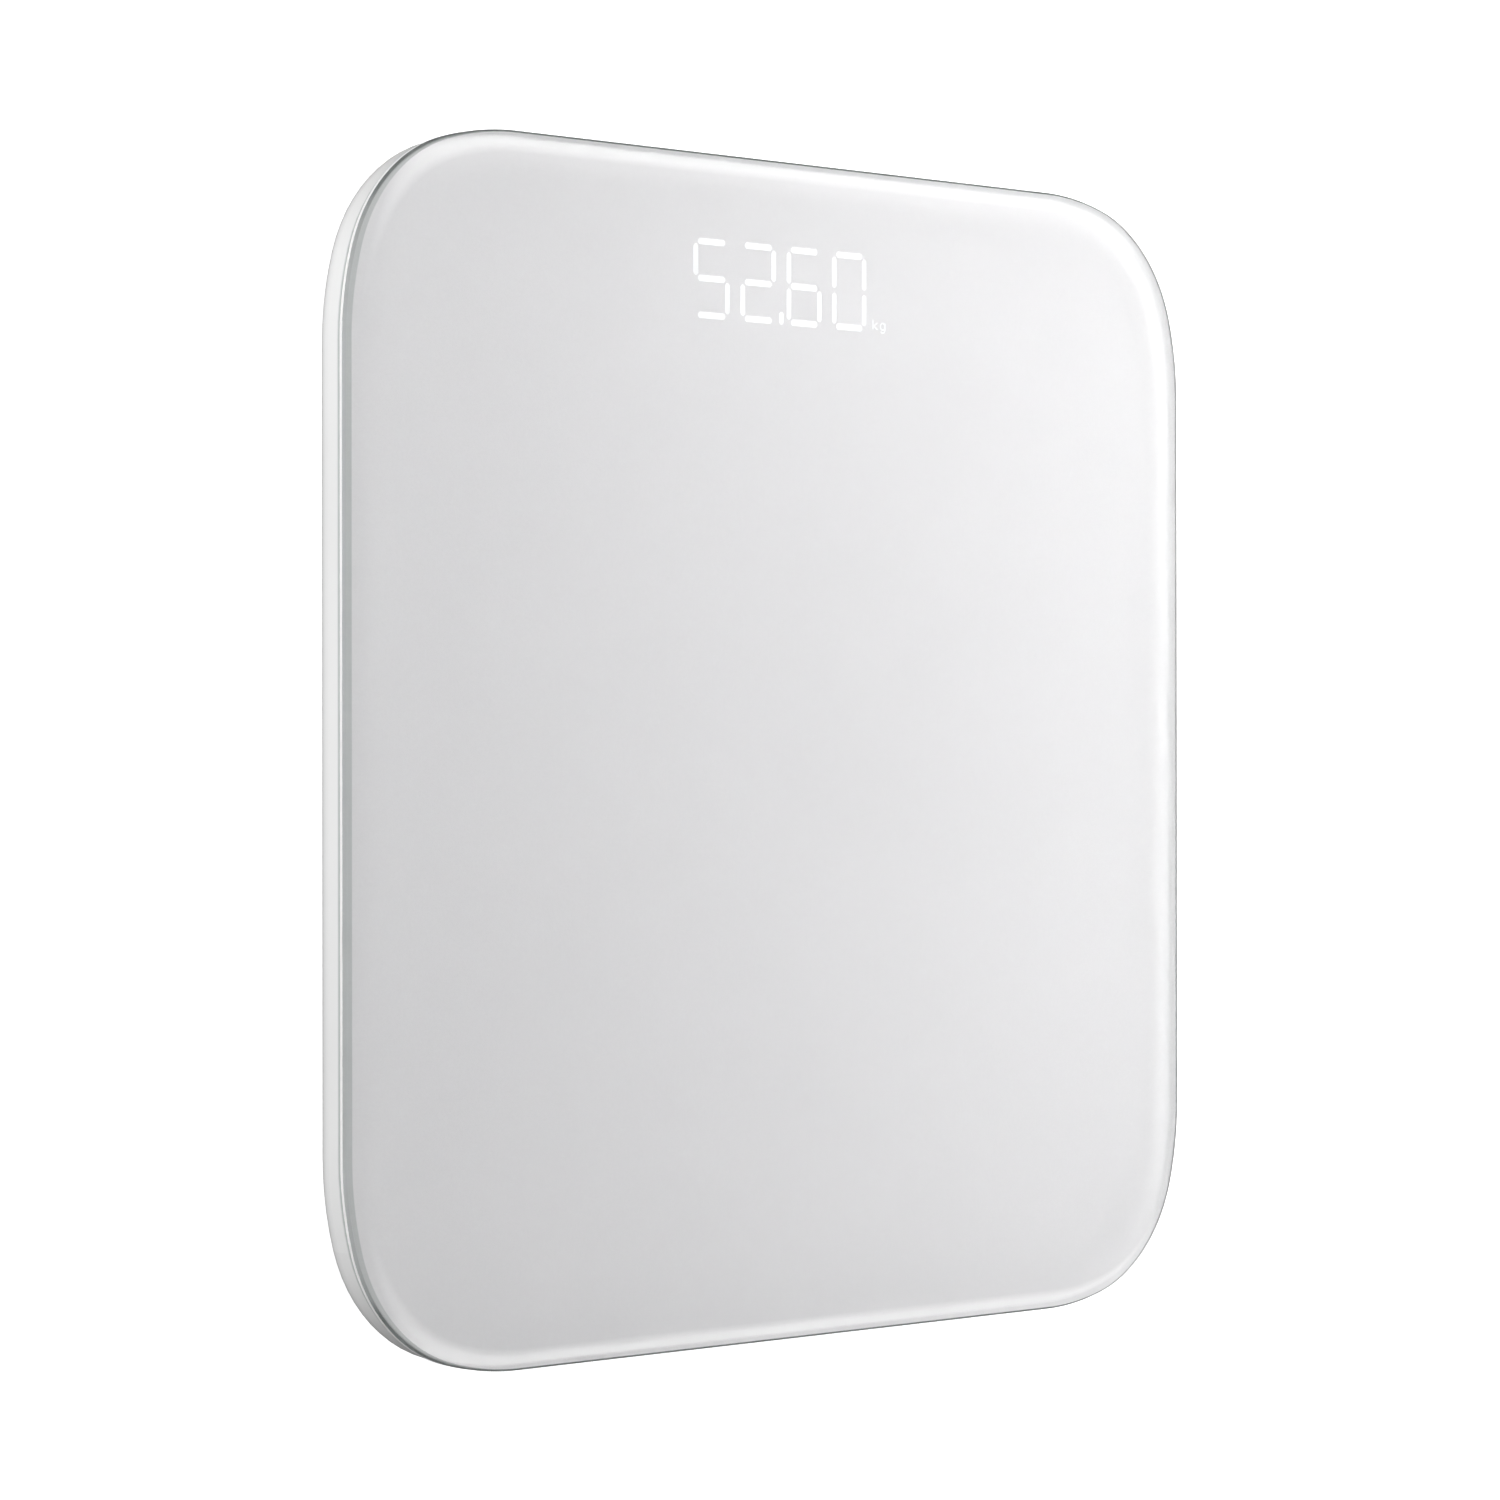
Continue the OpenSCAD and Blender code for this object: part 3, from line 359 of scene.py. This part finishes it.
MATERIALS = {
    "clear_glass": glass_material(),
    "white_print": print_material(),
    "shell": shell_material(),
    "lit_resin": lit_material(),
    "foot_rubber": rubber_material(),
    "tape": moulded("tape", (0.05, 0.05, 0.053), 0.85, 2200, 0.08 * MM),
    "reflector": moulded("reflector", (0.86, 0.86, 0.86), 0.6, 1500, 0.03 * MM),
    "film": moulded("film", (0.84, 0.84, 0.84), 0.5, 2500, 0.02 * MM),
    "board": moulded("board", (0.02, 0.12, 0.05), 0.35, 700, 0.03 * MM, 0.8),
    "chip": moulded("chip", (0.02, 0.02, 0.022), 0.5, 2500, 0.03 * MM, 0.85),
    "screw_steel": moulded("screw_steel", (0.62, 0.62, 0.64), 0.3, 900, 0.02 * MM, 0.9, 1.0),
    "cell_steel": moulded("cell_steel", (0.55, 0.56, 0.58), 0.34, 1100, 0.03 * MM, 0.9, 1.0),
    "spring_steel": moulded("spring_steel", (0.68, 0.68, 0.7), 0.24, 1100, 0.01 * MM, 0.92, 1.0),
    "contact": moulded("contact", (0.78, 0.68, 0.42), 0.26, 900, 0.02 * MM, 0.92, 1.0),
    "battery_can": moulded("battery_can", (0.36, 0.38, 0.41), 0.3, 800, 0.02 * MM, 0.92, 0.6),
    "supply_lead": moulded("supply_lead", (0.42, 0.02, 0.015), 0.4, 900, 0.02 * MM),
    "cell_cable": moulded("cell_cable", (0.05, 0.05, 0.055), 0.45, 900, 0.02 * MM),
    "gauge": moulded("gauge", (0.78, 0.78, 0.75), 0.45, 700, 0.06 * MM),
    "bracket": moulded("bracket", (0.6, 0.62, 0.64), 0.5, 2200, 0.04 * MM),
    "foot_cap": moulded("foot_cap", (0.8, 0.8, 0.8), 0.48, 2400, 0.05 * MM),
    "door": moulded("door", (0.85, 0.852, 0.85), 0.46, 2600, 0.05 * MM),
    "button": moulded("button", (0.42, 0.43, 0.45), 0.3, 1500, 0.02 * MM),
    "plunger": moulded("plunger", (0.55, 0.18, 0.02), 0.5, 1500, 0.03 * MM),
}

for part in frame["record"]["subparts"]:
    mesh = frame["nodes"][part["node"]].data
    mesh.materials.clear()
    mesh.materials.append(MATERIALS[part["material_slot"]])


def placed(piece, body, slot):
    """Gives a new piece the material of a slot and the body it rides on."""
    piece.data.materials.append(MATERIALS[slot])
    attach(piece, body)
    return piece


# ---------------------------------------------------------------- glass and print

OUT, UP, DOWN = (1, 0), (0, 1), (0, -1)
outline = platform_outline()

# The rim's rounding touches the wall and the arc of the border
border_z = GLASS_HIGH.z - BORDER_R
rim_start = math.asin((BORDER_W - RIM_R) / (BORDER_R - RIM_R))
rim_z = border_z + (BORDER_R - RIM_R) * math.cos(rim_start)
bevel = (math.sqrt(0.5), -math.sqrt(0.5))
glass_profile = rounded_edge((CHAMFER, GLASS_LOW.z), DOWN, bevel, ARRIS_R)
glass_profile += rounded_edge((0, GLASS_LOW.z + CHAMFER), bevel, OUT, ARRIS_R)
for step in range(RIM_STEPS + 1):
    angle = rim_start + (math.pi / 2 - rim_start) * (1 - step / RIM_STEPS)
    out, lift = math.sin(angle), math.cos(angle)
    glass_profile.append((RIM_R * (1 - out), rim_z + RIM_R * lift, out, lift))
for step in range(1, BORDER_STEPS + 1):
    angle = rim_start * (1 - step / BORDER_STEPS)
    out, lift = math.sin(angle), math.cos(angle)
    glass_profile.append((BORDER_W - BORDER_R * out, border_z + BORDER_R * lift, out, lift))
glass = placed(loft("glass_pane", glass_profile, outline), "platform", "clear_glass")
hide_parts("glass_platform")

print_inset = GLASS_HIGH.x - PRINT_HIGH.x
print_top = PRINT_HIGH.z + BOND_DEPTH
print_profile = rounded_edge((print_inset, PRINT_LOW.z), DOWN, OUT, PRINT_EDGE_R, 2)
print_profile += rounded_edge((print_inset, print_top), OUT, UP, PRINT_EDGE_R, 2)
white_print = placed(loft("print_layer", print_profile, outline), "platform", "white_print")
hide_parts("glass_print")

# ---------------------------------------------------------------- the lit reading

WELLS_LOW, WELLS_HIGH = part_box("display_segments")
DIGIT_W, DIGIT_H, DIGIT_PITCH = 11.8 * MM, 18.7 * MM, 15.5 * MM
BAR_W, BAR_CORNER = 1.42 * MM, 0.5 * MM
FLAT_BAR, TALL_BAR = 8.9 * MM, 7.3 * MM
POINT_H = 3.0 * MM
STROKE = 0.28 * MM
MARK_FROM_EDGE, MARK_WAIST, MARK_ARM, MARK_LEG = 4.5 * MM, 0.25 * MM, 1.55 * MM, 1.6 * MM
BOWL_SHIFT, BOWL_STEPS, TAIL_STEPS = 3.4 * MM, 20, 10
MARK_X_HEIGHT, MARK_ASCENT, MARK_DESCENT = 1.65 * MM, 2.35 * MM, 0.75 * MM
READING = "5260"
POINT_AFTER = 1
LIT_BARS = {"0": "abcdef", "2": "abged", "5": "afgcd", "6": "afgcde"}
LIT_Z = GLASS_LOW.z + BOND_DEPTH + 0.005 * MM
LIT_THICKNESS = 0.01 * MM


def bar_outline(centre, length, width, upright):
    """A bar with cut corners, as points round its edge."""
    a, b, cut = length / 2, width / 2, BAR_CORNER
    half = [(a, cut - b), (a, b - cut), (a - cut, b), (cut - a, b)]
    edge = half + [(-x, -y) for x, y in half]
    if upright:
        edge = [(-y, x) for x, y in edge]
    return [(centre[0] + x, centre[1] + y) for x, y in edge]


def stroke_outlines(points, width):
    """One four-sided outline for each straight piece of a line."""
    outlines = []
    for (x0, y0), (x1, y1) in zip(points, points[1:]):
        length = math.hypot(x1 - x0, y1 - y0)
        ox, oy = (y0 - y1) / length * width / 2, (x1 - x0) / length * width / 2
        outlines.append([(x0 - ox, y0 - oy), (x1 - ox, y1 - oy), (x1 + ox, y1 + oy), (x0 + ox, y0 + oy)])
    return outlines


def thin_plates(name, outlines):
    """Flat closed plates just above the print, one for each outline."""
    vertices, faces = [], []
    for edge in outlines:
        first, count = len(vertices), len(edge)
        for z in (LIT_Z, LIT_Z + LIT_THICKNESS):
            vertices += [(x, y, z) for x, y in edge]
        faces += band_faces(2, count, first)
        faces.append(tuple(first + i for i in reversed(range(count))))
        faces.append(tuple(first + count + i for i in range(count)))
    return new_object(name, vertices, faces)


digit_y = WELLS_HIGH.y - DIGIT_H / 2
side_x = (DIGIT_W - BAR_W) / 2
row_y = (DIGIT_H - BAR_W) / 2
BAR_PLACES = {
    "a": (0, row_y, False),
    "b": (side_x, row_y / 2, True),
    "c": (side_x, -row_y / 2, True),
    "d": (0, -row_y, False),
    "e": (-side_x, -row_y / 2, True),
    "f": (-side_x, row_y / 2, True),
    "g": (0, 0, False),
}
lit_outlines = []
for index, digit in enumerate(READING):
    digit_x = WELLS_LOW.x + DIGIT_W / 2 + index * DIGIT_PITCH
    for bar in LIT_BARS[digit]:
        dx, dy, upright_bar = BAR_PLACES[bar]
        length = TALL_BAR if upright_bar else FLAT_BAR
        lit_outlines.append(bar_outline((digit_x + dx, digit_y + dy), length, BAR_W, upright_bar))
point_x = WELLS_LOW.x + DIGIT_W / 2 + (POINT_AFTER + 0.5) * DIGIT_PITCH
point_y = digit_y - DIGIT_H / 2 + POINT_H / 2
lit_outlines.append(bar_outline((point_x, point_y), POINT_H, BAR_W, True))
placed(thin_plates("lit_digits", lit_outlines), "platform", "lit_resin")

# The small unit mark: a stem with two slanting strokes, and a bowl with a tail
mark_x = WELLS_HIGH.x - MARK_FROM_EDGE
mark_y = WELLS_LOW.y + MARK_DESCENT
stem = [(mark_x, mark_y), (mark_x, mark_y + MARK_ASCENT)]
waist = (mark_x + MARK_WAIST, mark_y + MARK_X_HEIGHT / 2)
arm = [(mark_x + MARK_ARM, mark_y + MARK_X_HEIGHT), waist, (mark_x + MARK_LEG, mark_y)]
bowl_r = MARK_X_HEIGHT / 2
bowl_x = mark_x + BOWL_SHIFT
bowl_arc = arc_points((bowl_x, mark_y + bowl_r), bowl_r, 0, math.tau, BOWL_STEPS)
bowl = [(x, y) for x, y, _, _ in bowl_arc]
tail_y = mark_y - MARK_DESCENT + bowl_r
tail_arc = arc_points((bowl_x, tail_y), bowl_r, 0, -math.pi, TAIL_STEPS)[1:-2]
tail = [(bowl_x + bowl_r, mark_y + MARK_X_HEIGHT), (bowl_x + bowl_r, tail_y)]
tail += [(x, y) for x, y, _, _ in tail_arc]
mark_outlines = [o for line in (stem, arm, bowl, tail) for o in stroke_outlines(line, STROKE)]
placed(thin_plates("lit_unit_mark", mark_outlines), "platform", "lit_resin")

# ---------------------------------------------------------------- floor, light and camera

# A pale floor that bends up into a round backdrop. It is only seen, and lights nothing.
COVE_R, COVE_BEND, COVE_HIGH = 3.0, 0.8, 3.2
COVE_STEPS, COVE_BEND_STEPS = 64, 8
FLOOR_GLOW = 1.0
cove_rows = [(COVE_R - COVE_BEND, 0)]
for step in range(1, COVE_BEND_STEPS + 1):
    angle = math.pi / 2 * step / COVE_BEND_STEPS
    reach = COVE_R - COVE_BEND + COVE_BEND * math.sin(angle)
    cove_rows.append((reach, COVE_BEND * (1 - math.cos(angle))))
cove_rows.append((COVE_R, COVE_HIGH))
cove_turns = [math.tau * i / COVE_STEPS for i in range(COVE_STEPS)]
floor_vertices = [
    (radius * math.cos(turn), radius * math.sin(turn), z)
    for radius, z in cove_rows
    for turn in cove_turns
]
floor_faces = [tuple(range(COVE_STEPS))]
floor_faces += [(a, d, c, b) for a, b, c, d in band_faces(len(cove_rows), COVE_STEPS)]
floor = new_object("floor", floor_vertices, floor_faces)
floor_paint, nodes, links, shader = new_material("floor_paint")
coords = object_coords(nodes)
pale = ranged(nodes, links, noise(nodes, links, coords, 5.0), 0, 1)
links.new(tinted(nodes, links, pale, (0.4, 0.4, 0.4), (0.42, 0.42, 0.42)), shader.inputs["Base Color"])
shader.inputs["Roughness"].default_value = 0.8
shader.inputs["Emission Color"].default_value = (*WHITE, 1)
shader.inputs["Emission Strength"].default_value = FLOOR_GLOW
floor.data.materials.append(floor_paint)
for kind in ("diffuse", "glossy", "transmission", "shadow"):
    setattr(floor, "visible_" + kind, False)

# The sky is brighter at the horizon and towards +Y
SKY_SLOPE = (0.0, 0.13, 0.0)
SKY_HORIZON, SKY_TOP, SKY_UNDER = 0.77, 0.185, 0.12
world = bpy.data.worlds.new("studio")
bpy.context.scene.world = world
world.use_nodes = True
nodes, links = world.node_tree.nodes, world.node_tree.links
direction = nodes.new("ShaderNodeTexCoord").outputs["Generated"]
slope = nodes.new("ShaderNodeVectorMath")
slope.operation = "DOT_PRODUCT"
slope.inputs[1].default_value = SKY_SLOPE
links.new(direction, slope.inputs[0])
sky_z = split_axes(nodes, links, direction)["Z"]
height = ranged(nodes, links, sky_z, SKY_HORIZON, SKY_TOP, 0.0, 0.7)
sky = computed(nodes, links, "ADD", slope.outputs["Value"], height)
above = ranged(nodes, links, sky_z, 0, 1, -0.02, 0.0)
under = ranged(nodes, links, above, SKY_UNDER, 0, 0, 1)
total = computed(nodes, links, "ADD", computed(nodes, links, "MULTIPLY", sky, above), under)
links.new(total, nodes["Background"].inputs["Strength"])
nodes["Background"].inputs["Color"].default_value = (*WHITE, 1)


def softbox(name, place, target, width, height, power):
    """A soft rectangular lamp that the camera doesn't see directly."""
    lamp = bpy.data.lights.new(name, "AREA")
    lamp.shape = "RECTANGLE"
    lamp.size, lamp.size_y = width, height
    lamp.energy = power
    stand = bpy.data.objects.new(name, lamp)
    stand.location = place
    stand.rotation_euler = (Vector(target) - Vector(place)).to_track_quat("-Z", "Y").to_euler()
    stand.visible_camera = False
    stand.visible_glossy = False
    bpy.context.scene.collection.objects.link(stand)


softbox("key_right", place=(0.41, 0.22, 0.45), target=(0, 0, 0), width=1.0, height=0.5, power=9.15)
softbox(
    "fill_left", place=(-0.75, 0.18, 0.05), target=(-0.14, 0, 0.01), width=0.6, height=0.1, power=3.3
)

# A dome that only shines in gloss. Its bright sides and front show in the border of the glass.
DOME_R, DOME_RINGS, DOME_STEPS = 2.2, 24, 72
DOME_LEVEL, DOME_GLOW, DOME_FRONT_GLOW = 0.4, 3.8, 1.2
DOME_ASIDE, DOME_RAISED = (0.2 * DOME_R, 0.6 * DOME_R), (0.3 * DOME_R, 0.48 * DOME_R)
DOME_AHEAD, DOME_FRONT = (-0.1 * DOME_R, 0.3 * DOME_R), (0.78 * DOME_R, 0.92 * DOME_R)


def dome_point(ring, step):
    lift, turn = math.pi / 2 * ring / DOME_RINGS, math.tau * step / DOME_STEPS
    flat = DOME_R * math.cos(lift)
    return flat * math.cos(turn), flat * math.sin(turn), DOME_R * math.sin(lift)


dome_vertices = [dome_point(ring, step) for ring in range(DOME_RINGS) for step in range(DOME_STEPS)]
dome_faces = band_faces(DOME_RINGS, DOME_STEPS)
dome_faces.append(tuple((DOME_RINGS - 1) * DOME_STEPS + i for i in range(DOME_STEPS)))
dome = new_object("gloss_dome", dome_vertices, dome_faces)
dome_light, nodes, links, shader = new_material("dome_light")
axes = split_axes(nodes, links, object_coords(nodes))
sideways = computed(nodes, links, "ABSOLUTE", axes["Y"], 0)
aside = ranged(nodes, links, sideways, 0, DOME_GLOW, *DOME_ASIDE)
raised = ranged(nodes, links, axes["Z"], 0, 1, *DOME_RAISED)
ahead = ranged(nodes, links, axes["X"], 0, 1, *DOME_AHEAD)
sides = computed(nodes, links, "MULTIPLY", computed(nodes, links, "MULTIPLY", aside, raised), ahead)
front = ranged(nodes, links, axes["X"], 0, DOME_FRONT_GLOW, *DOME_FRONT)
strength = computed(nodes, links, "ADD", computed(nodes, links, "ADD", sides, front), DOME_LEVEL)
links.new(strength, shader.inputs["Emission Strength"])
shader.inputs["Emission Color"].default_value = (*WHITE, 1)
shader.inputs["Base Color"].default_value = (*BLACK, 1)
dome.data.materials.append(dome_light)
for kind in ("camera", "diffuse", "transmission", "volume_scatter", "shadow"):
    setattr(dome, "visible_" + kind, False)

# The photograph's camera, found from the outline of the glass
CAMERA_PLACE = Vector((-0.863621, -0.002096, RIM_Z + 0.847360))
LENS_MM, SENSOR_MM = 121.868, 36.0
TILT, PITCH, ROLL = math.radians(45.0188), math.radians(0.105129), math.radians(0.057835)
level = Vector((math.cos(TILT), 0, math.sin(TILT)))
upright = Vector((-math.sin(PITCH) * math.sin(TILT), math.cos(PITCH), math.sin(PITCH) * math.cos(TILT)))
right = level * math.cos(ROLL) - upright * math.sin(ROLL)
up = level * math.sin(ROLL) + upright * math.cos(ROLL)
back = right.cross(up)

camera_data = bpy.data.cameras.new("camera")
camera_data.lens = LENS_MM
camera_data.sensor_width = SENSOR_MM
camera = bpy.data.objects.new("camera", camera_data)
camera.matrix_world = Matrix((
    (right.x, up.x, back.x, CAMERA_PLACE.x),
    (right.y, up.y, back.y, CAMERA_PLACE.y),
    (right.z, up.z, back.z, CAMERA_PLACE.z),
    (0, 0, 0, 1),
))
bpy.context.scene.collection.objects.link(camera)
bpy.context.scene.camera = camera
bpy.context.scene.view_settings.view_transform = "Standard"
